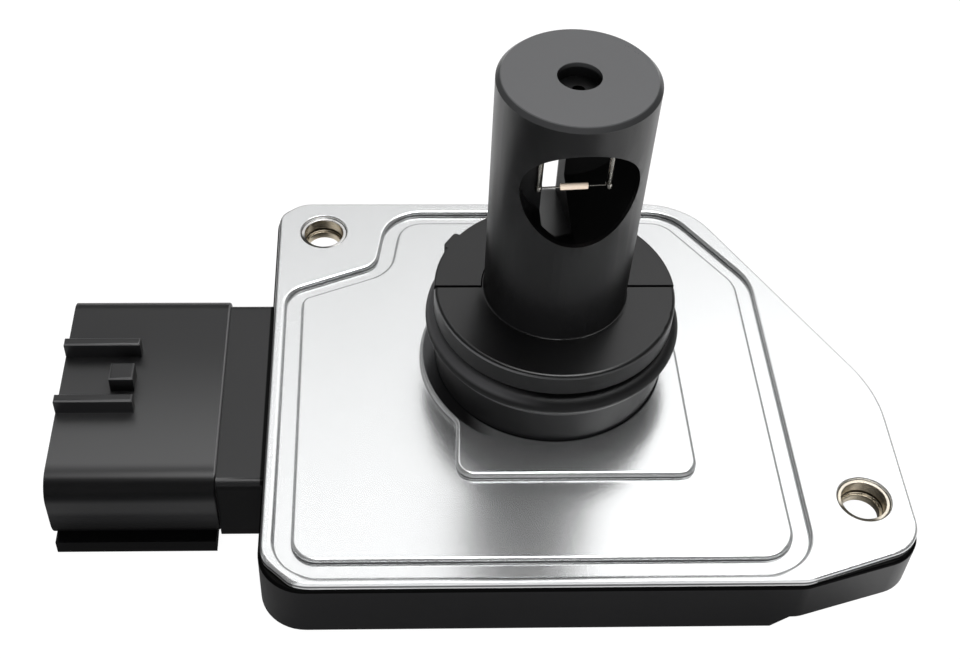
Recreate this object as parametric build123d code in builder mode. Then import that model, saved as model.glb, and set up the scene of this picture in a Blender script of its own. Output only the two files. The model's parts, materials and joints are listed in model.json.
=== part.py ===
from build123d import *
import os

os.makedirs("parts", exist_ok=True)

# A plug-in mass airflow sensor. The probe stands on the pressed metal base plate, the black case with its
# connector hangs under the plate, and the back cover closes the case. Millimetres, +Z along the probe,
# origin on the probe's axis at the outside of the back cover.

# Heights above the back of the cover
PLATE_TOP = 13.2
SHEET = 0.9
PAD_RISE = 0.9
CASE_BOTTOM = 4.25
EAR_BOTTOM = 6.2
CASE_TOP = PLATE_TOP - SHEET
PAD_TOP = PLATE_TOP + PAD_RISE
CLEAR = 0.15
PLATE_ROUND = 0.35
PRESS_ROUND = 0.5
CASE_ROUND = 0.35

# Outlines as corners with their rounding radius, seen from the probe side
PLATE_CORNERS = [
    (-34.8, 29.6, 4.0), (22.0, 29.6, 10.0), (41.6, -5.6, 18.0),
    (41.6, -29.4, 5.0), (27.2, -33.7, 4.0), (-34.8, -33.7, 5.5),
]
RIM_LEFT = 0.65
RIM_FRONT = 0.6
GROOVE_CORNERS = [
    (-32.6, -31.8, 4.0), (27.7, -31.8, 5.0), (27.7, 13.9, 6.0), (19.0, 26.7, 5.0),
    (-19.2, 26.7, 4.5), (-20.8, 16.6, 4.0), (-32.6, 11.6, 2.5),
]
COVER_CORNERS = [
    (-32.0, -30.4, 4.0), (24.4, -30.4, 4.0), (24.4, 15.0, 5.0), (17.4, 25.4, 5.0),
    (-19.0, 25.4, 4.5), (-20.6, 15.6, 4.0), (-32.0, 10.8, 3.0),
]

# Raised pad under the probe: a disc with a square-cornered tab to the front
PAD_RADIUS = 16.7
PAD_WIDTH = 29.0
PAD_REACH = 19.4
PAD_SHIFT = 2.2
PAD_CORNER = 2.2
PAD_NECK = 2.5

# Pressed groove in the plate, the case's channel under it and the bead of sealant
GROOVE_WIDTH = 1.9
GROOVE_DEPTH = 0.75
BEAD_WIDTH = 2.9
CHANNEL_WIDTH = BEAD_WIDTH + 4 * CLEAR
SEALANT = 0.55
CHANNEL_FLOOR = CASE_TOP - GROOVE_DEPTH - SEALANT

# Step to the shallower ear, the thin flange at the rear corner, the case's cavity and the lid that closes it
EAR_STEP = 24.3
EAR_SLOPE = 2.0
CORNER_RIGHT = -18.0
CORNER_FRONT = 10.9
CORNER_WALL = 1.2
CAVITY_INSET = 2.0
COVER_ROUND = 1.2
COVER_WALL = 1.8
PLUG_RISE = 1.5

# Fixing holes for two M4 screws
HOLE_REAR = (-29.0, 23.8)
HOLE_EAR = (36.1, -22.6)
BUSH_OUTER = 3.1
BUSH_BORE = 2.65
BUSH_NECK = 2.25
BUSH_BORE_DEPTH = 1.9
BUSH_NECK_LENGTH = 1.1
BUSH_SINK = 0.3
BUSH_LIP = 0.45
BUSH_LEDGE = 0.25
BUSH_CLEAR = 0.05
BUSH_SEAT = BUSH_OUTER + BUSH_CLEAR
BUSH_TOP = PLATE_TOP - BUSH_SINK
BUSH_STEP = BUSH_TOP - BUSH_BORE_DEPTH
BUSH_FOOT = BUSH_STEP - BUSH_NECK_LENGTH
WEB_BOTTOM = BUSH_FOOT - BUSH_LIP
HOLE_ROUND = 0.45

# Pocket cored out under the ear, around its hole
POCKET_LENGTH = 14.0
POCKET_WIDTH = 10.4
POCKET_PLACE = (HOLE_EAR[0] - 1.4, HOLE_EAR[1] + 2.0)
POCKET_ROUND = 3.0

# Probe
TUBE_BASE = 8.65
TUBE_TIP = 9.0
TUBE_CHAMFER = 0.55
SEAT_RADIUS = 12.95
RING_SECTION = 2.65
RING_CLEAR = 0.05
RING_OUTER = SEAT_RADIUS + RING_CLEAR + RING_SECTION
RING_PROUD = 0.95
LOWER_RING_PROUD = 0.75
FLANGE = RING_OUTER - RING_PROUD
LOWER_FLANGE = RING_OUTER - LOWER_RING_PROUD
LOWER_TAPER = 0.7
SPIGOT = 8.4
LOWER_FLANGE_RISE = 5.7
RING_GAP = 3.5
FLANGE_THICK = 2.9
TUBE_RISE = 31.8
SEAT_LOW = PAD_TOP + LOWER_FLANGE_RISE
SEAT_HIGH = SEAT_LOW + RING_GAP
FLANGE_TOP = SEAT_HIGH + FLANGE_THICK
TUBE_TOP = FLANGE_TOP + TUBE_RISE
FLANGE_ROUND = 0.5
TUBE_FLARE = 0.2
SPLIT_FRONT = -0.07
SPLIT_GAP = 0.4
LUG_RISE = 0.5
LUG_WIDTH = 2.8
LUG_ROUND = 0.45
LUG_ANGLE = 146.0
TIP_HOLE = 2.45
TIP_HOLE_DEPTH = 1.8
GATE_PIT = 0.75

# Air window, its blind end and the passage that falls to the outlet at the back
WINDOW_RADIUS = 6.6
WINDOW_SIDE = 0.4
WINDOW_DROP = 10.2
WINDOW_HEIGHT = TUBE_TOP - WINDOW_DROP
WINDOW_SHALLOW = -3.8
WINDOW_DEEP = 3.5
OUTLET_LEFT = -3.4
OUTLET_RIGHT = 0.1
PASSAGE_DROP = 6.2
PASSAGE_FALL = 8.6
PASSAGE_FRONT = -7.4
PASSAGE_BACK = 12.0

# Sensing element on its two pins
PIN_Y = -4.5
PIN_LEFT_DROP = 1.6
PIN_RIGHT_DROP = 1.1
PIN_LEFT = (-3.9, WINDOW_HEIGHT - PIN_LEFT_DROP)
PIN_RIGHT = (3.9, WINDOW_HEIGHT - PIN_RIGHT_DROP)
PIN_RADIUS = 0.3
PIN_ROOT = 2.4
PIN_TOP = TUBE_TOP - PIN_ROOT
PIN_HOLE_DEPTH = 6.0
PIN_CLEAR = 0.05
WELD_RADIUS = 0.42
WELD_HEIGHT = 0.7
RESISTOR_RADIUS = 0.38
RESISTOR_LENGTH = 3.1
RESISTOR_X = 0.07
LEAD_RADIUS = 0.1

# Connector
SHELL_ROOT = -41.0
SHELL_LENGTH = 20.35
SHELL_END = SHELL_ROOT - SHELL_LENGTH
SHELL_FRONT = -20.2
SHELL_BACK = 12.2
SHELL_LOW = 1.4
SHELL_TOP = 12.84
SHELL_WALL = 1.75
SHELL_ROUND = 3.0
SHELL_LOW_ROUND = 4.5
SOCKET_ROUND = 2.0
EDGE_ROUND = 0.3
NECK_FRONT = -19.3
NECK_BACK = 10.9
NECK_LOW = 1.5
NECK_ROOT = -33.2
NECK_ROUND = 1.2
SOCKET_DEPTH = 16.85
SOCKET_FLOOR = SHELL_END + SOCKET_DEPTH
RAIL_RISE = 2.3
RAIL_LENGTH = 9.65
RAIL_WIDTH = 1.2
RAIL_BACK = 1.5
RAIL_FRONT = -7.9
LATCH_INSET = 7.85
LATCH_PLACE = (SHELL_END + LATCH_INSET, -3.55)
LATCH_LENGTH = 3.0
LATCH_WIDTH = 2.7
FOOT_HEIGHT = 2.0
FOOT_WIDTH = 5.0
FOOT_SHORT = 0.6
BLADES = 6
BLADE_PITCH = 4.2
BLADE_WIDTH = 2.3
BLADE_THICK = 0.64
BLADE_INSET = 5.35
BLADE_TIP = SHELL_END + BLADE_INSET
BLADE_BEND = -28.0
BLADE_HEIGHT = 6.1
BLADE_NOSE = 1.5

# Circuit under the plate
BOARD = 0.85
BOARD_LOW = CASE_TOP - BOARD
BOARD_LENGTH = 49.4
BOARD_WIDTH = 36.2
BOARD_PLACE = (-4.3, -9.4)
CHIP_SIDE = 9.0
CHIP_HEIGHT = 1.6
CHIP_PLACE = (-8.0, -14.0)
CHIP_CHAMFER = 0.25
TRANSISTOR_LENGTH = 6.6
TRANSISTOR_WIDTH = 6.1
TRANSISTOR_HEIGHT = 2.3
TRANSISTOR_PLACE = (12.0, -19.0)
TRIM_LENGTH = 6.0
TRIM_WIDTH = 3.0
TRIM_HEIGHT = 0.5
TRIM_PLACE = (2.0, 2.0)
CAPACITOR_LENGTH = 3.2
CAPACITOR_WIDTH = 1.6
CAPACITOR_HEIGHT = 1.4
CAPACITOR_PLACES = [(-18.0, -20.0), (-18.0, -10.0), (12.0, -6.0)]


def rounded_face(corners, grow=0.0):
    """The face inside a row of corners, each rounded by its own radius, then grown or shrunk."""
    with BuildSketch(mode=Mode.PRIVATE) as outline:
        with BuildLine():
            Polyline(*[(x, y) for x, y, radius in corners], close=True)
        make_face()
        for x, y, radius in corners:
            fillet(outline.vertices().sort_by_distance((x, y, 0))[0], radius)
        if grow:
            offset(amount=grow)
    return outline.sketch


def spread(corners):
    """The case's outline: the plate's, with the rim that shows at the left and the front."""
    left = min(x for x, y, radius in corners)
    return [
        (x - RIM_LEFT if x == left else x, y - RIM_FRONT if y < -10 else y, radius)
        for x, y, radius in corners
    ]


# Base plate: pressed sheet with the sunken groove all round and the raised pad under the probe
with BuildPart() as base_plate:
    with BuildSketch(Plane.XY.offset(CASE_TOP)):
        add(rounded_face(PLATE_CORNERS))
    extrude(amount=SHEET)
    rim = base_plate.faces().sort_by(Axis.Z)[-1].outer_wire().edges()
    fillet(rim, PLATE_ROUND)
    with BuildSketch(Plane.XY.offset(CASE_TOP)):
        add(rounded_face(GROOVE_CORNERS, BEAD_WIDTH / 2))
        add(rounded_face(GROOVE_CORNERS, -BEAD_WIDTH / 2), mode=Mode.SUBTRACT)
    extrude(amount=-GROOVE_DEPTH)
    with BuildSketch(Plane.XY.offset(PLATE_TOP)):
        add(rounded_face(GROOVE_CORNERS, GROOVE_WIDTH / 2))
        add(rounded_face(GROOVE_CORNERS, -GROOVE_WIDTH / 2), mode=Mode.SUBTRACT)
    extrude(amount=-GROOVE_DEPTH, mode=Mode.SUBTRACT)
    border, field = base_plate.faces().filter_by(Axis.Z).group_by(Axis.Z)[-1].sort_by(SortBy.AREA)
    fillet(border.inner_wires()[0].edges() + field.outer_wire().edges(), PRESS_ROUND)
    with BuildSketch(Plane.XY.offset(PLATE_TOP)) as pad:
        Circle(PAD_RADIUS)
        with Locations((PAD_SHIFT, -PAD_REACH / 2)):
            Rectangle(PAD_WIDTH, PAD_REACH)
        fillet(pad.vertices().group_by(Axis.Y)[0], PAD_CORNER)
        pad_side = PAD_SHIFT - PAD_WIDTH / 2
        waist = (pad_side, -(PAD_RADIUS**2 - pad_side**2) ** 0.5)
        fillet(pad.vertices().sort_by_distance(waist)[0], PAD_NECK)
    extrude(amount=PAD_RISE)
    fillet(base_plate.faces().sort_by(Axis.Z)[-1].edges(), PRESS_ROUND)
    with Locations((0, 0, PAD_TOP)):
        Hole(SPIGOT + CLEAR)
    with Locations((*HOLE_REAR, PLATE_TOP), (*HOLE_EAR, PLATE_TOP)):
        Hole(BUSH_SEAT)
    circles = base_plate.edges().filter_by(GeomType.CIRCLE)
    rims = circles.filter_by(lambda edge: abs(edge.radius - BUSH_SEAT) < BUSH_CLEAR / 5)
    fillet(rims.group_by(Axis.Z)[-1], HOLE_ROUND)
base_plate.part.label = "base_plate"
export_step(base_plate.part, "parts/base_plate.step")

# Mounting bushes: plated steel, stepped bore, each seated on a thin lip at the foot of its hole in the case
for name, hole in (("rear_bush", HOLE_REAR), ("ear_bush", HOLE_EAR)):
    with BuildPart() as bush:
        with BuildSketch(Plane.XY.offset(BUSH_FOOT)):
            with Locations(hole):
                Circle(BUSH_OUTER)
                Circle(BUSH_NECK, mode=Mode.SUBTRACT)
        extrude(amount=BUSH_TOP - BUSH_FOOT)
        with BuildSketch(Plane.XY.offset(BUSH_STEP)):
            with Locations(hole):
                Circle(BUSH_BORE)
        extrude(amount=BUSH_BORE_DEPTH, mode=Mode.SUBTRACT)
    bush.part.label = name
    export_step(bush.part, f"parts/{name}.step")

# Bead of sealant on the floor of the case's channel, under the plate's pressed groove
with BuildPart() as sealant:
    with BuildSketch(Plane.XY.offset(CHANNEL_FLOOR)):
        add(rounded_face(GROOVE_CORNERS, BEAD_WIDTH / 2))
        add(rounded_face(GROOVE_CORNERS, -BEAD_WIDTH / 2), mode=Mode.SUBTRACT)
    extrude(amount=SEALANT)
sealant.part.label = "sealant"
export_step(sealant.part, "parts/sealant.step")

# Case: frame, ear, neck and connector shell in one moulding, open to the plate and to the cover
with BuildPart() as case:
    with BuildSketch(Plane.XY.offset(CASE_BOTTOM)):
        add(rounded_face(spread(PLATE_CORNERS)))
    extrude(amount=CASE_TOP - CASE_BOTTOM)
    top_rim = case.faces().sort_by(Axis.Z)[-1].outer_wire().edges()
    fillet(top_rim, CASE_ROUND)
    with BuildSketch(Plane.XZ):
        with BuildLine():
            Polyline((EAR_STEP, 0), (EAR_STEP, CASE_BOTTOM), (EAR_STEP + EAR_SLOPE, EAR_BOTTOM),
                     (2 * EAR_STEP, EAR_BOTTOM), (2 * EAR_STEP, 0), close=True)
        make_face()
    extrude(amount=2 * EAR_STEP, both=True, mode=Mode.SUBTRACT)
    with BuildSketch(Plane.XY.offset(EAR_BOTTOM)):
        with Locations(POCKET_PLACE):
            RectangleRounded(POCKET_WIDTH, POCKET_LENGTH, POCKET_ROUND)
    extrude(amount=WEB_BOTTOM - EAR_BOTTOM, mode=Mode.SUBTRACT)
    with BuildSketch(Plane.XY.offset(CASE_BOTTOM)):
        with Locations((CORNER_RIGHT, CORNER_FRONT)):
            Rectangle(EAR_STEP, EAR_STEP, align=(Align.MAX, Align.MIN))
        add(rounded_face(COVER_CORNERS, CORNER_WALL), mode=Mode.SUBTRACT)
    extrude(amount=WEB_BOTTOM - CASE_BOTTOM, mode=Mode.SUBTRACT)
    with BuildSketch(Plane.YZ.offset(SHELL_END)) as shell:
        with Locations(((SHELL_FRONT + SHELL_BACK) / 2, (SHELL_LOW + SHELL_TOP) / 2)):
            Rectangle(SHELL_BACK - SHELL_FRONT, SHELL_TOP - SHELL_LOW)
        fillet(shell.vertices().group_by(Axis.Y)[-1], SHELL_ROUND)
        fillet(shell.vertices().group_by(Axis.Y)[0], SHELL_LOW_ROUND)
    extrude(amount=SHELL_ROOT - SHELL_END)
    shoulder = case.faces().filter_by(Axis.X).sort_by_distance((SHELL_ROOT, 0, SHELL_TOP))[0]
    fillet(shoulder.outer_wire().edges(), EDGE_ROUND)
    with BuildSketch(Plane.YZ.offset(NECK_ROOT)) as neck:
        with Locations(((NECK_FRONT + NECK_BACK) / 2, (NECK_LOW + CASE_TOP) / 2)):
            Rectangle(NECK_BACK - NECK_FRONT, CASE_TOP - NECK_LOW)
        fillet(neck.vertices(), NECK_ROUND)
    extrude(amount=SHELL_ROOT - NECK_ROOT)
    with BuildSketch(Plane.YZ.offset(SHELL_END)):
        with Locations((SHELL_FRONT + FOOT_WIDTH / 2, FOOT_HEIGHT / 2),
                       (SHELL_BACK - FOOT_WIDTH / 2, FOOT_HEIGHT / 2)):
            Rectangle(FOOT_WIDTH, FOOT_HEIGHT)
    extrude(amount=SHELL_ROOT - SHELL_END - FOOT_SHORT)
    with BuildSketch(Plane.XY.offset(SHELL_TOP - SHELL_WALL / 2)):
        rail_middle = SHELL_END + RAIL_LENGTH / 2
        with Locations((rail_middle, RAIL_BACK), (rail_middle, RAIL_FRONT)):
            Rectangle(RAIL_LENGTH, RAIL_WIDTH)
        with Locations(LATCH_PLACE):
            Rectangle(LATCH_LENGTH, LATCH_WIDTH)
    extrude(amount=RAIL_RISE + SHELL_WALL / 2)
    fillet(case.faces().filter_by(Axis.Z).group_by(Axis.Z)[-1].edges(), EDGE_ROUND)
    with BuildSketch(Plane.YZ.offset(SHELL_END)) as socket:
        with Locations(((SHELL_FRONT + SHELL_BACK) / 2, (SHELL_LOW + SHELL_TOP) / 2)):
            Rectangle(SHELL_BACK - SHELL_FRONT - 2 * SHELL_WALL, SHELL_TOP - SHELL_LOW - 2 * SHELL_WALL)
        fillet(socket.vertices(), SOCKET_ROUND)
    extrude(amount=SOCKET_FLOOR - SHELL_END, mode=Mode.SUBTRACT)
    with BuildSketch(Plane.XY.offset(CHANNEL_FLOOR)):
        add(rounded_face(GROOVE_CORNERS, CHANNEL_WIDTH / 2))
        add(rounded_face(GROOVE_CORNERS, -CHANNEL_WIDTH / 2), mode=Mode.SUBTRACT)
    extrude(amount=CASE_TOP - CHANNEL_FLOOR, mode=Mode.SUBTRACT)
    with BuildSketch(Plane.XY.offset(CASE_BOTTOM)):
        add(rounded_face(COVER_CORNERS, -CAVITY_INSET))
    extrude(amount=CASE_TOP - CASE_BOTTOM, mode=Mode.SUBTRACT)
    with BuildSketch(Plane.XY.offset(BUSH_FOOT)):
        with Locations(HOLE_REAR, HOLE_EAR):
            Circle(BUSH_SEAT)
    extrude(amount=CASE_TOP - BUSH_FOOT, mode=Mode.SUBTRACT)
    with Locations((*HOLE_REAR, CASE_TOP), (*HOLE_EAR, CASE_TOP)):
        Hole(BUSH_OUTER - BUSH_LEDGE)
    with BuildSketch(Plane.YZ.offset(SOCKET_FLOOR)):
        with Locations(((SHELL_FRONT + SHELL_BACK) / 2, BLADE_HEIGHT)):
            with GridLocations(BLADE_PITCH, 1, BLADES, 1):
                Rectangle(BLADE_WIDTH, BLADE_THICK)
    extrude(amount=BLADE_BEND - SOCKET_FLOOR, mode=Mode.SUBTRACT)
case.part.label = "case"
export_step(case.part, "parts/case.step")

# Back cover: shallow lid with a plug that locates in the case
with BuildPart() as back_cover:
    with BuildSketch():
        add(rounded_face(COVER_CORNERS))
    extrude(amount=CASE_BOTTOM)
    fillet(back_cover.faces().sort_by(Axis.Z)[0].edges(), COVER_ROUND)
    with BuildSketch(Plane.XY.offset(CASE_BOTTOM)):
        add(rounded_face(COVER_CORNERS, -CAVITY_INSET - CLEAR))
    extrude(amount=PLUG_RISE)
    with BuildSketch(Plane.XY.offset(COVER_WALL)):
        add(rounded_face(COVER_CORNERS, -CAVITY_INSET - CLEAR - COVER_WALL))
    extrude(amount=CASE_BOTTOM, mode=Mode.SUBTRACT)
back_cover.part.label = "back_cover"
export_step(back_cover.part, "parts/back_cover.step")

# Probe: spigot, ring seat, front half of the upper flange and the tube with its air passage
with BuildPart() as probe_body:
    with BuildSketch(Plane.XZ) as half:
        with BuildLine():
            Polyline((0, CASE_TOP), (SPIGOT, CASE_TOP), (SPIGOT, PAD_TOP),
                     (LOWER_FLANGE - LOWER_TAPER, PAD_TOP),
                     (LOWER_FLANGE, SEAT_LOW), (SEAT_RADIUS, SEAT_LOW), (SEAT_RADIUS, SEAT_HIGH),
                     (FLANGE, SEAT_HIGH), (FLANGE, FLANGE_TOP), (TUBE_BASE, FLANGE_TOP),
                     (TUBE_TIP, TUBE_TOP - TUBE_CHAMFER), (TUBE_TIP - TUBE_CHAMFER, TUBE_TOP), (0, TUBE_TOP),
                     close=True)
        make_face()
        fillet(half.vertices().sort_by_distance((FLANGE, FLANGE_TOP))[0], FLANGE_ROUND)
        fillet(half.vertices().sort_by_distance((TUBE_BASE, FLANGE_TOP))[0], TUBE_FLARE)
    revolve(axis=Axis.Z)
    with BuildSketch(Plane.XY.offset(SEAT_HIGH)):
        with Locations((0, SPLIT_FRONT + FLANGE)):
            Rectangle(3 * FLANGE, 2 * FLANGE)
        Circle(TUBE_BASE + TUBE_FLARE, mode=Mode.SUBTRACT)
    extrude(amount=FLANGE_THICK, mode=Mode.SUBTRACT)
    with BuildSketch(Plane.YZ.offset(OUTLET_LEFT)):
        with BuildLine():
            sill = WINDOW_HEIGHT - PASSAGE_DROP
            Polyline((PASSAGE_FRONT, sill), (PASSAGE_BACK, sill - PASSAGE_FALL), (PASSAGE_BACK, sill),
                     (0, WINDOW_HEIGHT), close=True)
        make_face()
    extrude(amount=OUTLET_RIGHT - OUTLET_LEFT, mode=Mode.SUBTRACT)
    with BuildSketch(Plane.XZ.offset(-WINDOW_SHALLOW)):
        with Locations((WINDOW_SIDE, WINDOW_HEIGHT)):
            Circle(WINDOW_RADIUS)
    extrude(amount=2 * TUBE_TIP, mode=Mode.SUBTRACT)
    with BuildSketch(Plane.XZ.offset(-WINDOW_DEEP)):
        with Locations((WINDOW_SIDE, WINDOW_HEIGHT)):
            Circle(WINDOW_RADIUS)
        with Locations((OUTLET_LEFT - WINDOW_RADIUS, WINDOW_HEIGHT)):
            Rectangle(2 * WINDOW_RADIUS, 2 * WINDOW_RADIUS, mode=Mode.SUBTRACT)
    extrude(amount=WINDOW_DEEP - WINDOW_SHALLOW, mode=Mode.SUBTRACT)
    with BuildSketch(Plane.XY.offset(TUBE_TOP)):
        Circle(TIP_HOLE)
    extrude(amount=-TIP_HOLE_DEPTH, mode=Mode.SUBTRACT)
    with BuildSketch(Plane.XY.offset(TUBE_TOP - TIP_HOLE_DEPTH)):
        Circle(GATE_PIT)
    extrude(amount=-GATE_PIT, mode=Mode.SUBTRACT)
    with BuildSketch(Plane.XY.offset(PIN_TOP)):
        with Locations((PIN_LEFT[0], PIN_Y), (PIN_RIGHT[0], PIN_Y)):
            Circle(PIN_RADIUS + PIN_CLEAR)
    extrude(amount=-PIN_HOLE_DEPTH, mode=Mode.SUBTRACT)
probe_body.part.label = "probe_body"
export_step(probe_body.part, "parts/probe_body.step")

# Rear half of the upper flange, a separate half ring with a small lug on its edge
with BuildPart() as rear_flange:
    with BuildSketch(Plane.XY.offset(SEAT_HIGH)) as half_ring:
        Circle(FLANGE)
        with PolarLocations(FLANGE, 1, start_angle=LUG_ANGLE):
            Rectangle(2 * LUG_RISE, LUG_WIDTH)
        fillet(half_ring.vertices().sort_by_distance((0, 0))[-2:], LUG_ROUND)
        Circle(TUBE_BASE + TUBE_FLARE + CLEAR, mode=Mode.SUBTRACT)
        with Locations((0, SPLIT_FRONT + SPLIT_GAP - FLANGE)):
            Rectangle(3 * FLANGE, 2 * FLANGE, mode=Mode.SUBTRACT)
    extrude(amount=FLANGE_THICK)
    circles = rear_flange.edges().filter_by(GeomType.CIRCLE)
    rims = circles.filter_by(lambda edge: abs(edge.radius - FLANGE) < CLEAR / 2)
    fillet(rims.group_by(Axis.Z)[-1], FLANGE_ROUND / 2)
rear_flange.part.label = "rear_flange"
export_step(rear_flange.part, "parts/rear_flange.step")

# Sealing ring, sitting on the lower flange
with BuildPart() as o_ring:
    with BuildSketch(Plane.XZ):
        with Locations((RING_OUTER - RING_SECTION / 2, SEAT_LOW + RING_SECTION / 2)):
            RegularPolygon(RING_SECTION / 2, 12, major_radius=False, rotation=15)
    revolve(axis=Axis.Z)
o_ring.part.label = "o_ring"
export_step(o_ring.part, "parts/o_ring.step")

# Sensing element: two pins from the roof of the window, welded leads and the wound resistor between them
with BuildPart() as pin_left:
    with BuildSketch(Plane.XY.offset(PIN_TOP)):
        with Locations((PIN_LEFT[0], PIN_Y)):
            Circle(PIN_RADIUS)
    extrude(amount=PIN_LEFT[1] + WELD_HEIGHT / 2 - PIN_TOP)
pin_left.part.label = "pin_left"
export_step(pin_left.part, "parts/pin_left.step")

with BuildPart() as pin_right:
    with BuildSketch(Plane.XY.offset(PIN_TOP)):
        with Locations((PIN_RIGHT[0], PIN_Y)):
            Circle(PIN_RADIUS)
    extrude(amount=PIN_RIGHT[1] + WELD_HEIGHT / 2 - PIN_TOP)
pin_right.part.label = "pin_right"
export_step(pin_right.part, "parts/pin_right.step")

ELEMENT_RUN = Vector(PIN_RIGHT[0] - PIN_LEFT[0], 0, PIN_RIGHT[1] - PIN_LEFT[1])
ELEMENT = Plane(origin=(PIN_LEFT[0], PIN_Y, PIN_LEFT[1]), z_dir=ELEMENT_RUN)
RESISTOR_START = RESISTOR_X - PIN_LEFT[0] - RESISTOR_LENGTH / 2
with BuildPart() as hot_wire:
    with BuildSketch(ELEMENT.offset(RESISTOR_START)):
        Circle(RESISTOR_RADIUS)
    extrude(amount=RESISTOR_LENGTH)
hot_wire.part.label = "hot_wire"
export_step(hot_wire.part, "parts/hot_wire.step")

with BuildPart() as lead_left:
    with BuildSketch(Plane.XY.offset(PIN_LEFT[1] - WELD_HEIGHT / 2)):
        with Locations((PIN_LEFT[0], PIN_Y)):
            Circle(WELD_RADIUS)
    extrude(amount=WELD_HEIGHT)
    with BuildSketch(ELEMENT):
        Circle(LEAD_RADIUS)
    extrude(amount=RESISTOR_START)
lead_left.part.label = "lead_left"
export_step(lead_left.part, "parts/lead_left.step")

with BuildPart() as lead_right:
    with BuildSketch(Plane.XY.offset(PIN_RIGHT[1] - WELD_HEIGHT / 2)):
        with Locations((PIN_RIGHT[0], PIN_Y)):
            Circle(WELD_RADIUS)
    extrude(amount=WELD_HEIGHT)
    with BuildSketch(ELEMENT.offset(RESISTOR_START + RESISTOR_LENGTH)):
        Circle(LEAD_RADIUS)
    extrude(amount=ELEMENT_RUN.length - RESISTOR_START - RESISTOR_LENGTH)
lead_right.part.label = "lead_right"
export_step(lead_right.part, "parts/lead_right.step")

# Circuit: ceramic board bonded to the underside of the plate, with its parts facing the cover
with BuildPart() as circuit_board:
    with BuildSketch(Plane.XY.offset(BOARD_LOW)):
        with Locations(BOARD_PLACE):
            Rectangle(BOARD_LENGTH, BOARD_WIDTH)
    extrude(amount=BOARD)
circuit_board.part.label = "circuit_board"
export_step(circuit_board.part, "parts/circuit_board.step")

with BuildPart() as control_chip:
    with BuildSketch(Plane.XY.offset(BOARD_LOW)):
        with Locations(CHIP_PLACE):
            Rectangle(CHIP_SIDE, CHIP_SIDE)
    extrude(amount=-CHIP_HEIGHT)
    chamfer(control_chip.faces().sort_by(Axis.Z)[0].edges(), CHIP_CHAMFER)
control_chip.part.label = "control_chip"
export_step(control_chip.part, "parts/control_chip.step")

with BuildPart() as power_transistor:
    with BuildSketch(Plane.XY.offset(BOARD_LOW)):
        with Locations(TRANSISTOR_PLACE):
            Rectangle(TRANSISTOR_LENGTH, TRANSISTOR_WIDTH)
    extrude(amount=-TRANSISTOR_HEIGHT)
    chamfer(power_transistor.faces().sort_by(Axis.Z)[0].edges(), CHIP_CHAMFER)
power_transistor.part.label = "power_transistor"
export_step(power_transistor.part, "parts/power_transistor.step")

with BuildPart() as trim_resistor:
    with BuildSketch(Plane.XY.offset(BOARD_LOW)):
        with Locations(TRIM_PLACE):
            Rectangle(TRIM_LENGTH, TRIM_WIDTH)
    extrude(amount=-TRIM_HEIGHT)
trim_resistor.part.label = "trim_resistor"
export_step(trim_resistor.part, "parts/trim_resistor.step")

with BuildPart() as capacitors:
    with BuildSketch(Plane.XY.offset(BOARD_LOW)):
        with Locations(*CAPACITOR_PLACES):
            Rectangle(CAPACITOR_LENGTH, CAPACITOR_WIDTH)
    extrude(amount=-CAPACITOR_HEIGHT)
capacitors.part.label = "capacitors"
export_step(capacitors.part, "parts/capacitors.step")

# Connector blades, moulded into the neck and turned up to the board
for number in range(BLADES):
    blade_y = (SHELL_FRONT + SHELL_BACK) / 2 + (number - (BLADES - 1) / 2) * BLADE_PITCH
    under = BLADE_HEIGHT - BLADE_THICK / 2
    over = BLADE_HEIGHT + BLADE_THICK / 2
    with BuildPart() as terminal:
        with BuildSketch(Plane.XZ.offset(-blade_y)):
            with BuildLine():
                Polyline(
                    (BLADE_TIP, BLADE_HEIGHT - BLADE_THICK / 4), (BLADE_TIP + BLADE_NOSE, under),
                    (BLADE_BEND, under), (BLADE_BEND, BOARD_LOW),
                    (BLADE_BEND - BLADE_THICK, BOARD_LOW), (BLADE_BEND - BLADE_THICK, over),
                    (BLADE_TIP + BLADE_NOSE, over), (BLADE_TIP, BLADE_HEIGHT + BLADE_THICK / 4),
                    close=True,
                )
            make_face()
        extrude(amount=BLADE_WIDTH / 2, both=True)
    terminal.part.label = f"terminal_{number + 1}"
    export_step(terminal.part, f"parts/terminal_{number + 1}.step")
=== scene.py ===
import json
import math

import bpy
from mathutils import Matrix, Vector

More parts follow.
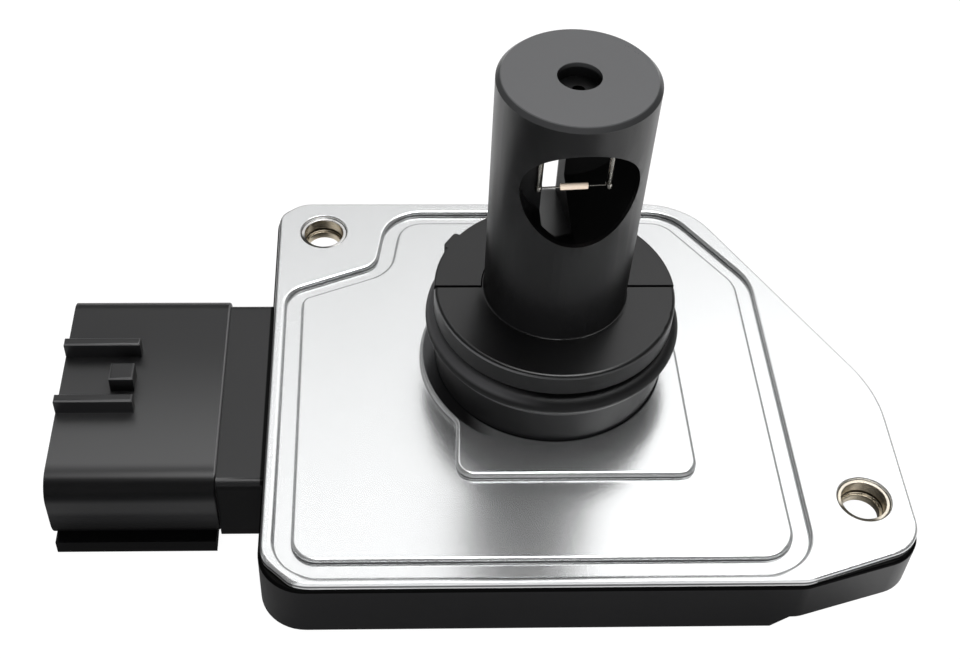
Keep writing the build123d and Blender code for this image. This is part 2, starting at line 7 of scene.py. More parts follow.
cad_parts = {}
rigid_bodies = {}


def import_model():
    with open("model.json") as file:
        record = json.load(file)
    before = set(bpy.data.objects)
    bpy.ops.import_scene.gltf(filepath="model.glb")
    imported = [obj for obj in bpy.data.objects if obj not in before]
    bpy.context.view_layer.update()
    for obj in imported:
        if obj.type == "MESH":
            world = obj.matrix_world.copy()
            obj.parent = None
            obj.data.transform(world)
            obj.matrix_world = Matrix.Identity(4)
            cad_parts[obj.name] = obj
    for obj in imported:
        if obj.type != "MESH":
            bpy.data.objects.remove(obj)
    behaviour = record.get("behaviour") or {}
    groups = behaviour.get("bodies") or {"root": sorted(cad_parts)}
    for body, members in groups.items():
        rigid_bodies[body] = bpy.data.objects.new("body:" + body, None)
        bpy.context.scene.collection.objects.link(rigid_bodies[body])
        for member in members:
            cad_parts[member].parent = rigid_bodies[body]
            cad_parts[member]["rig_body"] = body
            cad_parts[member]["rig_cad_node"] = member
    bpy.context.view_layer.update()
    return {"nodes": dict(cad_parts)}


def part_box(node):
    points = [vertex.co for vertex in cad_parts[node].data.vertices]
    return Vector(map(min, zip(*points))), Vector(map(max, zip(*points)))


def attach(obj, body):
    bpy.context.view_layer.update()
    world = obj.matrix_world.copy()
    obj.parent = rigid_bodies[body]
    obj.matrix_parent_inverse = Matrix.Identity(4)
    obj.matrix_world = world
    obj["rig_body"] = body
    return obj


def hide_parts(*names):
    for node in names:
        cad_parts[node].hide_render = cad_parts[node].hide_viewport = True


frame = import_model()

# Back cover: the shallow black lid that closes the case from below and that the sensor lies on.
# It is injection moulded in glass-filled plastic, with a fine grain spark-eroded into the tool.
# Its plug drops into the case, where it is bonded.
MM = 0.001
CORNER_JOIN = 0.002 * MM
FLAT_WITHIN = math.radians(0.3)
LID_EDGE = 0.15 * MM
CASE_BLACKS = (0.004, 0.004, 0.0045), (0.008, 0.008, 0.0085)
LID_ROUGHNESS = 0.36
LID_GLOSS = 0.6
CLOUD_SCALE = 110.0
GRAIN_SCALE = 5200.0
GRAIN_DEPTH = 0.02 * MM


class Shade:
    """A value or colour on a surface. Arithmetic on one adds Math nodes to its material."""

    def __init__(self, tree, socket):
        self.tree = tree
        self.socket = socket

    def node(self, kind, settings=None, sockets=None, out=0):
        """A node of any kind: its settings first, then the values or links of its sockets."""
        made = self.tree.nodes.new(kind)
        for key, value in (settings or {}).items():
            setattr(made, key, value)
        for key, value in (sockets or {}).items():
            if isinstance(value, Shade):
                self.tree.links.new(value.socket, made.inputs[key])
            else:
                made.inputs[key].default_value = value
        return Shade(self.tree, made.outputs[out])

    def feed(self, shader, name):
        """Links this value to a socket of a shader."""
        self.tree.links.new(self.socket, shader.inputs[name])

    def maths(self, operation, first, second):
        return self.node("ShaderNodeMath", {"operation": operation}, {0: first, 1: second})

    def __add__(self, other):
        return self.maths("ADD", self, other)

    __radd__ = __add__

    def __sub__(self, other):
        return self.maths("SUBTRACT", self, other)

    def __rsub__(self, other):
        return self.maths("SUBTRACT", other, self)

    def __mul__(self, other):
        return self.maths("MULTIPLY", self, other)

    __rmul__ = __mul__

    def __truediv__(self, other):
        return self.maths("DIVIDE", self, other)

    def __gt__(self, other):
        return self.maths("GREATER_THAN", self, other)

    def most(self, other):
        """The larger of this value and another."""
        return self.maths("MAXIMUM", self, other)

    def axis(self, letter):
        """One coordinate of a place or a direction."""
        return self.node("ShaderNodeSeparateXYZ", None, {"Vector": self}, out="XYZ".index(letter))

    def rise(self, low, high):
        """Nought below one value, one above another and a smooth rise between them."""
        ends = {"Value": self, "From Min": low, "From Max": high}
        return self.node("ShaderNodeMapRange", {"interpolation_type": "SMOOTHSTEP"}, ends)

    def fall(self, low, high):
        """One below one value, nought above another and a smooth fall between them."""
        return 1.0 - self.rise(low, high)

    def band(self, start, end):
        """One between two soft edges and nought outside them."""
        return self.rise(*start) * self.fall(*end)

    def noise(self, scale, detail=3.0, stretch=(1, 1, 1)):
        """Noise in object space, stretched along the axes where the finish has a grain."""
        laid = self.node("ShaderNodeMapping", None, {"Vector": self, "Scale": stretch})
        return self.node("ShaderNodeTexNoise", None, {"Vector": laid, "Scale": scale, "Detail": detail})

    def blend(self, low, high):
        """The colour between two others that this value picks."""
        low, high = [end if isinstance(end, Shade) else (*end, 1.0) for end in (low, high)]
        return self.node("ShaderNodeMix", {"data_type": "RGBA"}, {"Factor": self, 6: low, 7: high}, out=2)

    def bump(self, shader, strength, depth):
        """Raises the surface a little where this value is high."""
        relief = {"Strength": strength, "Distance": depth, "Height": self}
        self.node("ShaderNodeBump", None, relief).feed(shader, "Normal")


def new_finish(name):
    """An empty material, its shader and the place on the piece."""
    finish = bpy.data.materials.new(name)
    finish.use_nodes = True
    tree = finish.node_tree
    place = Shade(tree, tree.nodes.new("ShaderNodeTexCoord").outputs["Object"])
    return finish, tree.nodes["Principled BSDF"], place


def black_moulding(name, blacks, roughness, gloss):
    """Black filled plastic: faint flow clouds in colour and sheen over a fine eroded grain."""
    finish, shader, place = new_finish(name)
    clouds = place.noise(CLOUD_SCALE, 4.0)
    grain = place.noise(GRAIN_SCALE, 2.0)
    clouds.blend(*blacks).feed(shader, "Base Color")
    (roughness + clouds * 0.08 + grain * 0.06 - 0.07).feed(shader, "Roughness")
    shader.inputs["Specular IOR Level"].default_value = gloss
    grain.bump(shader, 0.25, GRAIN_DEPTH)
    return finish


def eased_copy(node, name, edge, limit=35, reshape=None):
    """A CAD piece with its triangles joined, its flat faces made whole and its sharp edges eased."""
    bpy.ops.object.select_all(action="DESELECT")
    piece = frame["nodes"][node].copy()
    piece.data = piece.data.copy()
    piece.name = name
    piece.parent = None
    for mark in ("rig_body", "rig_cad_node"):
        del piece[mark]
    bpy.context.scene.collection.objects.link(piece)
    piece.select_set(True)
    bpy.context.view_layer.objects.active = piece
    piece.data.materials.clear()
    bpy.ops.object.mode_set(mode="EDIT")
    bpy.ops.mesh.select_all(action="SELECT")
    bpy.ops.mesh.remove_doubles(threshold=CORNER_JOIN)
    bpy.ops.mesh.dissolve_limited(angle_limit=FLAT_WITHIN)
    bpy.ops.object.mode_set(mode="OBJECT")
    if reshape:
        for corner in piece.data.vertices:
            reshape(corner.co)
    bevel = piece.modifiers.new("eased edges", "BEVEL")
    bevel.width = edge
    bevel.segments = 3
    bevel.limit_method = "ANGLE"
    bevel.angle_limit = math.radians(limit)
    bpy.ops.object.modifier_apply(modifier=bevel.name)
    bpy.ops.object.shade_smooth_by_angle(angle=math.radians(limit))
    even = piece.modifiers.new("even shading", "WEIGHTED_NORMAL")
    even.keep_sharp = True
    bpy.ops.object.modifier_apply(modifier=even.name)
    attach(piece, "root")
    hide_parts(node)
    return piece


lid = eased_copy("back_cover", "back_cover_lid", LID_EDGE)
lid.data.materials.append(black_moulding("lid plastic", CASE_BLACKS, LID_ROUGHNESS, LID_GLOSS))

# Case: one black moulding with the frame, the ear, the neck and the connector shell, its rails and latch.
# It is the same filled plastic as the lid, a little smoother where the tool was polished.
# Painted highlights lighten the shell's top near the front, its right edge, the rails' top edges and a band
# across its front. Painted shade darkens the shell's front above and below that band, the walls under the
# plate and the neck's front.
CASE_EDGE = 0.2 * MM
CASE_ROUGHNESS = 0.34
CASE_GLOSS = 0.65
# Colours and strengths of the painted highlights and the painted shade on the case.
SHEEN_GREY = (0.052, 0.052, 0.053)
EDGE_HIGHLIGHT_GREY = (0.15, 0.15, 0.152)
BELLY_HIGHLIGHT_GREY = (0.020, 0.020, 0.0205)
PAINTED_SHADE_BLACK = (0.001, 0.001, 0.001)
RAIL_HIGHLIGHT = 0.5
BROW_SHADE = 0.55
CHIN_SHADE = 0.7
UNDER_PLATE_SHADE = 0.9
NECK_SHADE = 0.6
# Where the marks lie, in millimetres: each pair is the start and the end of a soft edge.
SHELL_TOP = (12.55, 12.80), (12.86, 12.92)
SHELL_TOP_SIDE = -41.2, -41.1
SHEEN_ALONG = (-17.6, -16.2), (-17.5, 4.0)
SHELL_EDGE = (-41.24, -41.16), (-40.99, -40.95)
SHELL_EDGE_FOOT = 12.55, 12.65
RAIL_EDGE = (14.88, 14.96), (15.09, 15.13)
RAIL_SIDE = -42.0, -41.0
SHELL_FRONT = -18.6, -17.8
SHELL_FRONT_SIDE = -41.1, -41.0
BELLY = (7.2, 8.5), (9.7, 10.8)
BROW = (10.3, 11.4), (12.55, 12.75)
CHIN = 4.6, 7.4
UNDER_PLATE = 11.75, 11.90
FRAME_SIDE = -35.8, -35.6
NECK = (-41.0, -40.9), (-35.6, -35.5)
NECK_FRONT = -19.2, -19.0


def millimetres(place):
    """A place on the piece in millimetres: to the right, away from the window and up."""
    return [place.axis(letter) / MM for letter in "XYZ"]


def opened(finish):
    """A finish opened again for its marks: its shader, its bare colour and the place in millimetres."""
    tree = finish.node_tree
    shader = tree.nodes["Principled BSDF"]
    bare = Shade(tree, shader.inputs["Base Color"].links[0].from_socket)
    place = Shade(tree, tree.nodes.new("ShaderNodeTexCoord").outputs["Object"])
    return shader, bare, *millimetres(place)


def painted_shade_patches(finish, amount, black):
    """Painted shade: matt black over a finish, as far as a mask says."""
    tree = finish.node_tree
    glossy = Shade(tree, tree.nodes["Principled BSDF"].outputs["BSDF"])
    matt = amount.node("ShaderNodeBsdfDiffuse", None, {"Color": (*black, 1.0)})
    skin = amount.node("ShaderNodeMixShader", None, {0: amount, 1: glossy, 2: matt})
    skin.feed(tree.nodes["Material Output"], "Surface")


case = eased_copy("case", "case_moulding", CASE_EDGE)
finish = black_moulding("case plastic", CASE_BLACKS, CASE_ROUGHNESS, CASE_GLOSS)
shader, bare, across, along, height = opened(finish)
# Painted highlights: the shell's top near the front, its right edge, the rails' top edges and a band across
# the shell's front are lightened in the colour.
sheen = height.band(*SHELL_TOP) * across.fall(*SHELL_TOP_SIDE) * along.band(*SHEEN_ALONG)
shell_edge_highlight = across.band(*SHELL_EDGE) * height.rise(*SHELL_EDGE_FOOT)
rail_edge_highlight = height.band(*RAIL_EDGE) * across.fall(*RAIL_SIDE) * RAIL_HIGHLIGHT
shell_front = along.fall(*SHELL_FRONT) * across.fall(*SHELL_FRONT_SIDE)
with_top_highlight = sheen.blend(bare, SHEEN_GREY)
with_edge_highlights = (shell_edge_highlight + rail_edge_highlight).blend(with_top_highlight, EDGE_HIGHLIGHT_GREY)
(shell_front * height.band(*BELLY)).blend(with_edge_highlights, BELLY_HIGHLIGHT_GREY).feed(shader, "Base Color")
# Painted shade: the shell's front above and below the band, the case's top under the plate's edge and the
# neck's front are darkened with matt black.
brow_and_chin = height.band(*BROW) * BROW_SHADE + height.fall(*CHIN) * CHIN_SHADE
under_plate = height.rise(*UNDER_PLATE) * across.rise(*FRAME_SIDE) * UNDER_PLATE_SHADE
neck = across.band(*NECK) * along.fall(*NECK_FRONT) * NECK_SHADE
painted_shade_patches(finish, under_plate + shell_front * brow_and_chin + neck, PAINTED_SHADE_BLACK)
case.data.materials.append(finish)

# Terminals: six flat blades, stamped from brass strip and tin plated.
# They are pressed through the rear wall of the connector and the neck, and turn up to the board.
BLADE_EDGE = 0.08 * MM
TIN = (0.62, 0.62, 0.60), (0.74, 0.74, 0.72)
TIN_ROUGHNESS = 0.32
ALONG_BLADE = (1, 14, 14)
DRAW_LINE_SCALE = 900.0
TARNISH_SCALE = 400.0
DRAW_LINE_DEPTH = 0.01 * MM


def drawn_metal(name, colours, roughness, stretch):
    """Bare or plated metal with fine draw lines along one axis."""
    finish, shader, place = new_finish(name)
    lines = place.noise(DRAW_LINE_SCALE, 3.0, stretch)
    place.noise(TARNISH_SCALE, 3.0).blend(*colours).feed(shader, "Base Color")
    (roughness + lines * 0.14 - 0.07).feed(shader, "Roughness")
    shader.inputs["Metallic"].default_value = 1.0
    lines.bump(shader, 0.15, DRAW_LINE_DEPTH)
    return finish


tin_plate = drawn_metal("tin plate", TIN, TIN_ROUGHNESS, ALONG_BLADE)
for number in range(1, 7):
    blade = eased_copy(f"terminal_{number}", f"blade_{number}", BLADE_EDGE)
    blade.data.materials.append(tin_plate)

# Circuit: an alumina board bonded under the plate, with its chips and film parts facing the cover.
# A bead of cured sealant lies in the channel of the case, under the groove of the plate.
# All of it is hidden when the sensor is assembled.
EPOXY = (0.012, 0.012, 0.012), (0.03, 0.03, 0.03)
SPECKLE_SCALE = 2600.0


def fired_ceramic(name, low, high, roughness):
    """Fired ceramic, moulded epoxy or cured sealant: a fine speckle under a dull skin."""
    finish, shader, place = new_finish(name)
    speckle = place.noise(SPECKLE_SCALE, 4.0)
    speckle.blend(low, high).feed(shader, "Base Color")
    (roughness + speckle * 0.15).feed(shader, "Roughness")
    return finish


circuit_finishes = {
    "circuit_board": fired_ceramic("alumina", (0.70, 0.69, 0.64), (0.84, 0.83, 0.79), 0.55),
    "control_chip": fired_ceramic("chip epoxy", *EPOXY, 0.50),
    "power_transistor": fired_ceramic("transistor epoxy", *EPOXY, 0.50),
    "trim_resistor": fired_ceramic("resistor glaze", (0.02, 0.05, 0.04), (0.04, 0.09, 0.07), 0.25),
    "capacitors": fired_ceramic("capacitor ceramic", (0.28, 0.19, 0.11), (0.40, 0.28, 0.18), 0.45),
    "sealant": fired_ceramic("cured sealant", (0.02, 0.02, 0.022), (0.05, 0.05, 0.055), 0.60),
}
for node, finish in circuit_finishes.items():
    frame["nodes"][node].data.materials.clear()
    frame["nodes"][node].data.materials.append(finish)

# Base plate: thin steel sheet, pressed with a groove all round and a raised pad for the probe.
# It is bright plated after pressing. Painted shade darkens its bends and walls, its left edge, a line round
# the probe's foot and the pad beside the probe at the left.
# It closes the case from above, set in the sealant, and is the face that seats on the duct.
PLATE_EDGE = 0.22 * MM
LAP_LEFT = 0.4 * MM
LAP_LEFT_RUN = -33.4 * MM, -34.4 * MM
LAP_FRONT = 0.35 * MM
LAP_FRONT_RUN = -32.4 * MM, -33.3 * MM
PAD_TRIM = 0.45 * MM
PAD_TRIM_RUN = -2.0 * MM, -8.0 * MM
PAD_WALL_FOOT = 13.15 * MM
PAD_WALL_IN = 15.0 * MM
PAD_WALL_OUT = 17.6 * MM
HOLES = [sum(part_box(node), Vector()).xy / 2 for node in ("rear_bush", "ear_bush")]
HOLE = 3.16 * MM
HOLE_ROLL = 0.5 * MM
HOLE_ROLL_SHARE = 0.4
PLATING = (0.90, 0.912, 0.918), (0.95, 0.96, 0.965)
BLOOM_SCALE = 45.0
BEND_SHADE = (0.04, 0.04, 0.042)
WALL_SHADE = 0.85
PAD_SHADE = 0.97
EDGE_SHADE = 0.75
PLATE_METAL = 0.86
FRONT_EDGE_LOSS = 0.4
# Where the painted shade and the less metallic front edge lie, in millimetres: heights, then distances from
# the probe's axis, then sides.
GROOVE_WALL = (12.48, 12.56), (12.80, 12.95)
PAD_WALL = (13.22, 13.30), (13.45, 13.62)
PAD_TOP = 13.7, 13.9
FOOT_LINE = 14.35, 14.55
PAD_RIM = 15.75, 16.05
PAD_LEFT = -11.0, -7.0
LEFT_EDGE = -35.05, -34.70
FRONT_EDGE = -33.80, -33.60


def eased(value, start, end):
    """Nought at one place, one at another and a smooth rise between them."""
    share = min(max((value - start) / (end - start), 0.0), 1.0)
    return share * share * (3.0 - 2.0 * share)


def press(corner):
    """Laps the sheet over the case at two sides, draws in the pad's left and tightens the hole rims."""
    corner.x -= LAP_LEFT * eased(corner.x, *LAP_LEFT_RUN)
    corner.y -= LAP_FRONT * eased(corner.y, *LAP_FRONT_RUN)
    reach = corner.xy.length
    if corner.z > PAD_WALL_FOOT and PAD_WALL_IN < reach < PAD_WALL_OUT:
        corner.xy *= 1.0 - PAD_TRIM / reach * eased(corner.x, *PAD_TRIM_RUN)
    for centre in HOLES:
        out = corner.xy - centre
        if HOLE < out.length < HOLE + HOLE_ROLL:
            corner.xy = centre + out * ((HOLE + HOLE_ROLL_SHARE * (out.length - HOLE)) / out.length)


def from_axis(across, along):
    """How far a place lies from the probe's axis."""
    return across.maths("SQRT", across * across + along * along, 0.0)


plate = eased_copy("base_plate", "pressed_plate", PLATE_EDGE, reshape=press)
finish, shader, place = new_finish("bright plating")
across, along, height = millimetres(place)
grain = place.noise(GRAIN_SCALE, 3.0)
bloom = place.noise(BLOOM_SCALE, 3.0)
# Painted shade: the groove and pad walls, a line round the probe's foot, the pad beside the probe at the
# left and the plate's left edge are darkened in the colour.
walls = (height.band(*GROOVE_WALL) + height.band(*PAD_WALL)) * WALL_SHADE
reach = from_axis(across, along)
pad_shade = reach.fall(*PAD_RIM) * across.fall(*PAD_LEFT) * PAD_SHADE
round_foot = reach.fall(*FOOT_LINE).most(pad_shade) * height.rise(*PAD_TOP)
plate_shade = walls.most(round_foot).most(across.fall(*LEFT_EDGE) * EDGE_SHADE)
plate_shade.blend(bloom.blend(*PLATING), BEND_SHADE).feed(shader, "Base Color")
(0.17 + grain * 0.06 + bloom * 0.06).feed(shader, "Roughness")
(PLATE_METAL - FRONT_EDGE_LOSS * along.fall(*FRONT_EDGE)).feed(shader, "Metallic")
grain.bump(shader, 0.08, DRAW_LINE_DEPTH)
plate.data.materials.append(finish)

# Mounting bushes: two turned steel sleeves with a stepped bore, yellow passivated.
# They are pressed into the holes of the case and stand on a thin lip at the foot of each.
# Their faced rims are brighter, the ear bush's less so, and painted shade darkens the corner of the step
# and the near side of the rim.
BUSH_EDGE = 0.1 * MM
PASSIVATE = (0.70, 0.60, 0.44), (0.84, 0.75, 0.59)
PASSIVATE_ROUGHNESS = 0.28
DOWN_BORE = (1, 1, 20)
FACED_STEEL = (0.92, 0.91, 0.89)
# Colour and strengths of the painted shade in the bore's step and on the near side of the rim.
BUSH_SHADE_COLOUR = (0.02, 0.017, 0.012)
EAR_RIM_LOSS = 0.7
BORE_STEP_SHADE = 0.93
NEAR_RIM_SHADE = 0.95
BUSH_RIM = 12.72, 12.82
BORE_STEP = (11.02, 11.08), (11.35, 11.50)
NEAR_SIDE = -2.3, -1.3
NEAR_WAY = Vector((0.5, 0.87))
REAR_HOLE, EAR_HOLE = [centre / MM for centre in HOLES]
passivated = drawn_metal("yellow passivate", PASSIVATE, PASSIVATE_ROUGHNESS, DOWN_BORE)
shader, bare, across, along, height = opened(passivated)
at_ear = across > 0.0
rim = height.rise(*BUSH_RIM)
aside = across - (REAR_HOLE.x + at_ear * (EAR_HOLE.x - REAR_HOLE.x))
behind = along - (REAR_HOLE.y + at_ear * (EAR_HOLE.y - REAR_HOLE.y))
# Painted shade: the corner of the step in the bore and the near side of the rim are darkened in the colour.
near_rim = (aside * NEAR_WAY.x + behind * NEAR_WAY.y).fall(*NEAR_SIDE) * rim
bush_shade = (height.band(*BORE_STEP) * BORE_STEP_SHADE).most(near_rim * NEAR_RIM_SHADE)
faced = (rim * (1.0 - EAR_RIM_LOSS * at_ear)).blend(bare, FACED_STEEL)
bush_shade.blend(faced, BUSH_SHADE_COLOUR).feed(shader, "Base Color")
for node in ("rear_bush", "ear_bush"):
    bush = eased_copy(node, node + "_sleeve", BUSH_EDGE)
    bush.data.materials.append(passivated)

# Probe: one black moulding with the spigot, the ring seat, the front half of the upper flange and the tube.
# The tube has the round air window in front and its outlet behind. The foot below the ring is duller.
# Painted highlights lighten the tip, the flange's rim and the foot's top edge, painted shade darkens the
# tube's flanks and its passage, and the thin half flange reflects as if it were slightly warped.
PROBE_EDGE = 0.18 * MM
PROBE_BLACKS = (0.003, 0.003, 0.0032), (0.006, 0.006, 0.0064)
PROBE_ROUGHNESS = 0.30
PROBE_GLOSS = 0.65
# Colours and strengths of the painted highlights and the painted shade on the probe.
PROBE_HIGHLIGHT_GREY = (0.10, 0.101, 0.104)
TUBE_SHADE_BLACK = (0.004, 0.004, 0.004)
TIP_EDGE_HIGHLIGHT = 0.3
TIP_TOP_HIGHLIGHT = 0.7
FLANGE_RIM_HIGHLIGHT = 0.25
FLANGE_RIM_LEFT_HIGHLIGHT = 0.55
FLANK_SHADE = 0.6
PASSAGE_LEFT_SHADE = 0.25
PASSAGE_RIGHT_SHADE = 0.5
TIP_EDGE = 57.35, 57.50
TIP_TOP = 57.85, 57.95
FLANGE_RIM = (25.68, 25.78), (25.94, 26.04)
RIM_LEFT = -10.0, 0.0
FLANK_START = 5.2
FLANK_END = 8.0
FLANK_FADE = 32.0, 47.0
TUBE_FOOT = 26.3, 26.5
PASSAGE = (30.0, 31.0), (54.0, 55.0)
PASSAGE_WALL = 8.1, 8.4
PASSAGE_RIGHT = -4.5, 1.0
FLANGE_TOP = (26.10, 26.18), (26.22, 26.30)
FLANGE_TOP_IN = 9.0, 9.3
FLANGE_WARP = 0.06
FOOT_TOP = 19.85 * MM
FOOT_ROUGHNESS = 0.34
FOOT_GLOSS = 0.17
FOOT_RIM_HIGHLIGHT_GREY = (0.06, 0.06, 0.062)
FOOT_RIM = 19.55, 19.70
probe = eased_copy("probe_body", "probe_moulding", PROBE_EDGE)
finish = black_moulding("probe plastic", PROBE_BLACKS, PROBE_ROUGHNESS, PROBE_GLOSS)
shader, bare, across, along, height = opened(finish)
reach = from_axis(across, along)
# Painted highlights: the tip's edge and top face and the flange's rim, more at the left, are lightened in
# the colour.
tip = height.rise(*TIP_EDGE) * TIP_EDGE_HIGHLIGHT + height.rise(*TIP_TOP) * TIP_TOP_HIGHLIGHT
rim = height.band(*FLANGE_RIM) * (FLANGE_RIM_HIGHLIGHT + FLANGE_RIM_LEFT_HIGHLIGHT * across.fall(*RIM_LEFT))
(tip + rim).blend(bare, PROBE_HIGHLIGHT_GREY).feed(shader, "Base Color")
# Painted shade: the tube's flanks and the walls of its passage are darkened with matt black.
flank = (across * across).rise(FLANK_START**2, FLANK_END**2) * height.band(TUBE_FOOT, FLANK_FADE)
passage = reach.fall(*PASSAGE_WALL) * height.band(*PASSAGE)
passage = passage * (PASSAGE_LEFT_SHADE + PASSAGE_RIGHT_SHADE * across.rise(*PASSAGE_RIGHT))
painted_shade_patches(finish, (flank * FLANK_SHADE).most(passage), TUBE_SHADE_BLACK)
warp = height.band(*FLANGE_TOP) * reach.rise(*FLANGE_TOP_IN) * FLANGE_WARP
lean = warp.node("ShaderNodeVectorMath", {"operation": "SCALE"}, {0: (1.0, 0.0, 0.0), "Scale": warp})
upright = Shade(finish.node_tree, finish.node_tree.nodes.new("ShaderNodeNewGeometry").outputs["Normal"])
warped = warp.node("ShaderNodeVectorMath", {"operation": "ADD"}, {0: upright, 1: lean})
warped.feed(shader.inputs["Normal"].links[0].from_node, "Normal")
probe.data.materials.append(finish)
finish = black_moulding("probe foot plastic", PROBE_BLACKS, FOOT_ROUGHNESS, FOOT_GLOSS)
shader, bare, across, along, height = opened(finish)
# Painted highlight: the top edge of the foot below the ring is lightened in the colour.
height.rise(*FOOT_RIM).blend(bare, FOOT_RIM_HIGHLIGHT_GREY).feed(shader, "Base Color")
probe.data.materials.append(finish)
for face in probe.data.polygons:
    if face.center.z < FOOT_TOP:
        face.material_index = 1

# Rear flange: the half ring that closes the ring seat behind the tube, with a small lug at the left.
# It is moulded by itself in the probe's plastic and snapped on from behind.
half_ring = eased_copy("rear_flange", "rear_half_ring", PROBE_EDGE)
half_ring.data.materials.append(
    black_moulding("half ring plastic", PROBE_BLACKS, PROBE_ROUGHNESS, PROBE_GLOSS)
)

# Sealing ring: a round-section ring of black nitrile rubber, moulded, with a painted highlight on its upper
# left.
# It lies in the seat between the two flanges and seals the probe in the duct's opening.
RING_LOW, RING_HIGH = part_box("o_ring")
RING_HALF = 0.47 * (RING_HIGH.z - RING_LOW.z)
RUBBER_SCALE = 1500.0
RUBBER = (0.003, 0.003, 0.0032), (0.006, 0.006, 0.0064)
# Colour of the painted highlight on the ring's upper left, and where it lies.
RING_HIGHLIGHT_GREY = (0.05, 0.05, 0.052)
RING_HIGHLIGHT_LEFT = -10.0, -1.0
RING_HIGHLIGHT_TOP = [(RING_HIGH.z - share * RING_HALF) / MM for share in (0.75, 0.35)]
RUBBER_GLOSS = 0.35
bpy.ops.object.select_all(action="DESELECT")
bpy.ops.mesh.primitive_torus_add(
    major_segments=120,
    minor_segments=28,
    major_radius=RING_HIGH.x - RING_HALF,
    minor_radius=RING_HALF,
    location=(0, 0, RING_HIGH.z - RING_HALF),
)
ring = bpy.context.object
ring.name = "sealing_ring"
bpy.ops.object.transform_apply(location=True, rotation=True, scale=True)
bpy.ops.object.shade_smooth()
finish, shader, place = new_finish("ring rubber")
across, along, height = millimetres(place)
skin = place.noise(RUBBER_SCALE, 3.0)
# Painted highlight: the ring's upper side at the left is lightened in the colour.
ring_highlight = height.rise(*RING_HIGHLIGHT_TOP) * across.fall(*RING_HIGHLIGHT_LEFT)
ring_highlight.blend(skin.blend(*RUBBER), RING_HIGHLIGHT_GREY).feed(shader, "Base Color")
(0.38 + skin * 0.18).feed(shader, "Roughness")
shader.inputs["Specular IOR Level"].default_value = RUBBER_GLOSS
ring.data.materials.append(finish)
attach(ring, "root")
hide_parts("o_ring")

# Sensing element: two drawn pins set in the roof of the window, with a small wound resistor between them.
# The resistor is coated with glass, and its thin leads are welded across the ends of the pins.
WIRE_EDGE = 0.05 * MM
WIRE_EDGE_ANGLE = 60
WIRE = (0.62, 0.59, 0.53), (0.80, 0.78, 0.73)
WIRE_ROUGHNESS = 0.22
ALONG_PIN = (14, 14, 1)
WINDING_EDGE = 0.1 * MM
WINDING = (0.72, 0.58, 0.46), (0.84, 0.72, 0.60)
WINDING_ROUGHNESS = 0.35
pin_wire = drawn_metal("pin wire", WIRE, WIRE_ROUGHNESS, ALONG_PIN)
for node in ("pin_left", "pin_right", "lead_left", "lead_right"):
    wire = eased_copy(node, node + "_wire", WIRE_EDGE, WIRE_EDGE_ANGLE)
    wire.data.materials.append(pin_wire)
winding = eased_copy("hot_wire", "wound_resistor", WINDING_EDGE)
winding.data.materials.append(fired_ceramic("glazed winding", *WINDING, WINDING_ROUGHNESS))

# Floor: a white paper sweep just under the part, which the camera sees as plain white.
# Its colour, seen only in reflections, is darker in front of the part and darkest in front of the
# connector: a painted shadow.
FLOOR_SIZE = 4.0
FLOOR_DROP = 0.05 * MM
LIT_BEHIND = -40.0, 5.0
LIT_RIGHT = 26.0, 46.0
SHADE_RIGHT = -56.0, -38.0
SHADED_PAPER = 0.05
SHADED_PAPER_GAIN = 0.14
OPEN_PAPER = 0.80
WHITE = (1.0, 1.0, 1.0, 1.0)
SHADOW_GREY = (0.10, 0.10, 0.10, 1.0)
PAPER_GLOW = 0.97
bpy.ops.mesh.primitive_plane_add(size=FLOOR_SIZE, location=(0, 0, -FLOOR_DROP))
floor = bpy.context.object
floor.name = "floor"
sweep = bpy.data.materials.new("white sweep")
sweep.use_nodes = True
tree = sweep.node_tree
tree.nodes.clear()
seen = Shade(tree, tree.nodes.new("ShaderNodeLightPath").outputs["Is Camera Ray"])
across, along, height = millimetres(Shade(tree, tree.nodes.new("ShaderNodeTexCoord").outputs["Object"]))
# Painted shadow: the paper, seen only in reflections, is darker in front of the part and darkest in front
# of the connector.
open_floor = 1.0 - along.fall(*LIT_BEHIND) * across.fall(*LIT_RIGHT)
in_shade = SHADED_PAPER + SHADED_PAPER_GAIN * across.rise(*SHADE_RIGHT)
fall_off = in_shade + open_floor * (OPEN_PAPER - in_shade)
paper = seen.node("ShaderNodeBsdfDiffuse", None, {"Color": fall_off})
glow = seen.node("ShaderNodeEmission", None, {"Color": WHITE, "Strength": PAPER_GLOW})
shadow = seen.node("ShaderNodeBsdfDiffuse", None, {"Color": SHADOW_GREY})
lit = seen.node("ShaderNodeAddShader", None, {0: glow, 1: shadow})
mixed = seen.node("ShaderNodeMixShader", None, {0: seen, 1: paper, 2: lit})
mixed.feed(tree.nodes.new("ShaderNodeOutputMaterial"), "Surface")
floor.data.materials.append(sweep)

# Studio light: a large soft panel behind the part, brighter to the right, a softbox overhead that shows
# only in reflections, dim walls and two square lamps. The soft edges are slopes seen from the part.
BACK_WIDTH = (-1.05, -0.35), (0.75, 1.15)
BACK_RISE = (0.20, 1.60), (1.75, 2.30)
BACK_LIGHT = 0.98
BACK_RIGHT = 0.0, 0.20
BACK_RIGHT_LIGHT = 0.45
TOP_WIDTH = (-0.14, -0.06), (0.45, 0.60)
TOP_DEPTH = (-0.28, -0.20), (0.30, 0.36)
TOP_LIGHT = 5.5
ROOM_LIGHT = 0.05
BACK_WALL = -0.5, 0.3
BACK_WALL_LIGHT = 0.09
FRONT_WALL = -0.75, -0.35
FRONT_WALL_FOOT = 0.10, 0.45
FRONT_WALL_LIGHT = 0.12
LAMP_AIM = Vector((0, 0, 0.02))
NEARLY_NOUGHT = 0.001
world = bpy.data.worlds.new("studio")
bpy.context.scene.world = world
world.use_nodes = True
tree = world.node_tree
tree.nodes.clear()
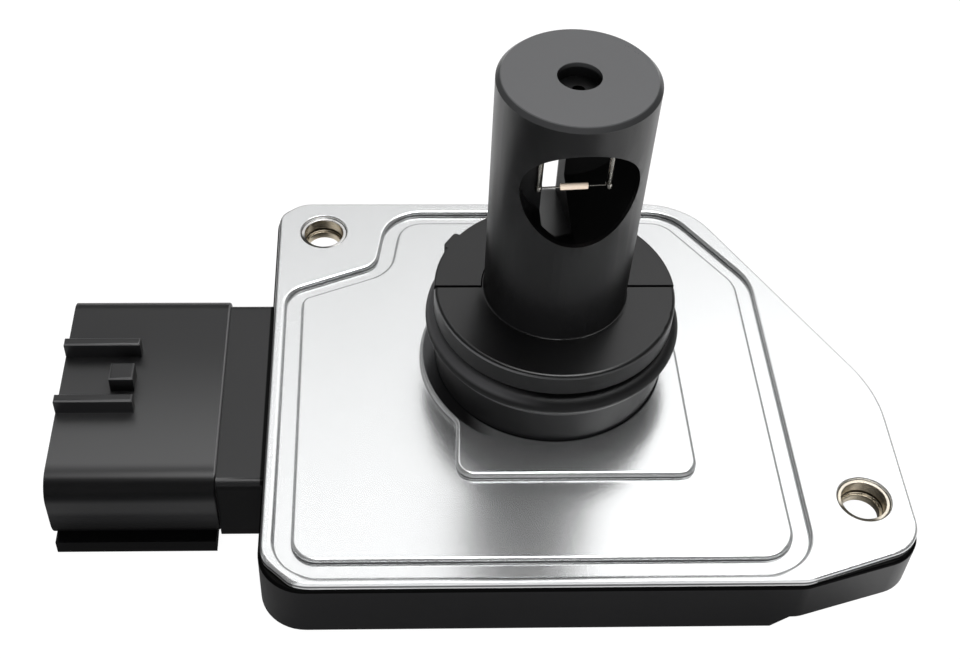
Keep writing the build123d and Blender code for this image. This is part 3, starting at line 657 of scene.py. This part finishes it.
paths = tree.nodes.new("ShaderNodeLightPath")
seen = Shade(tree, paths.outputs["Is Camera Ray"])
reflected = Shade(tree, paths.outputs["Is Glossy Ray"])
aim = Shade(tree, tree.nodes.new("ShaderNodeTexCoord").outputs["Generated"])
right, back, up = [aim.axis(letter) for letter in "XYZ"]
ahead = back.most(NEARLY_NOUGHT)
back_panel = (right / ahead).band(*BACK_WIDTH) * (up / ahead).band(*BACK_RISE)
overhead = up.most(NEARLY_NOUGHT)
top_panel = (right / overhead).band(*TOP_WIDTH) * (back / overhead).band(*TOP_DEPTH)
walls = ROOM_LIGHT + back.rise(*BACK_WALL) * BACK_WALL_LIGHT
walls = walls + back.fall(*FRONT_WALL) * up.rise(*FRONT_WALL_FOOT) * FRONT_WALL_LIGHT
panels = back_panel * (BACK_LIGHT + right.rise(*BACK_RIGHT) * BACK_RIGHT_LIGHT)
panels = panels + reflected * top_panel * TOP_LIGHT
white = seen.node("ShaderNodeBackground", None, {"Color": WHITE, "Strength": 1.0})
soft = seen.node("ShaderNodeBackground", None, {"Color": WHITE, "Strength": walls + panels})
mixed = seen.node("ShaderNodeMixShader", None, {0: seen, 1: soft, 2: white})
mixed.feed(tree.nodes.new("ShaderNodeOutputWorld"), "Surface")


def softbox(name, place, size, watts):
    """A square soft lamp that faces the part."""
    bpy.ops.object.light_add(type="AREA", location=place)
    lamp = bpy.context.object
    lamp.name = name
    lamp.data.size = size
    lamp.data.energy = watts
    lamp.visible_glossy = False
    lamp.rotation_euler = (LAMP_AIM - Vector(place)).to_track_quat("-Z", "Y").to_euler()


softbox("back softbox", (0.05, 0.50, 0.60), 0.5, 5.2)
softbox("front softbox", (-0.15, -0.55, 0.16), 0.4, 4.4)

# Camera: in front of the part and above it, looking down at the tube and a little to the right.
# Its lens is shifted sideways, so that the part sits in the picture with its connector at the left.
CAMERA_PLACE = Vector((-21.517, -126.952, 154.229)) * MM
PITCH = math.radians(46.847)
YAW = math.radians(2.598)
ROLL = math.radians(1.730)
ahead = Vector((math.sin(YAW) * math.cos(PITCH), math.cos(YAW) * math.cos(PITCH), -math.sin(PITCH)))
level = Vector((math.cos(YAW), -math.sin(YAW), 0.0))
upright = level.cross(ahead)
side = level * math.cos(ROLL) + upright * math.sin(ROLL)
top = upright * math.cos(ROLL) - level * math.sin(ROLL)
bpy.ops.object.camera_add()
camera = bpy.context.object
turn = Matrix((side, top, -ahead)).transposed().to_4x4()
camera.matrix_world = Matrix.Translation(CAMERA_PLACE) @ turn
camera.data.sensor_width = 36.0
camera.data.lens = 55.62
camera.data.shift_x = 0.0582
camera.data.clip_start = 0.01
bpy.context.scene.camera = camera
bpy.context.scene.view_settings.view_transform = "Standard"
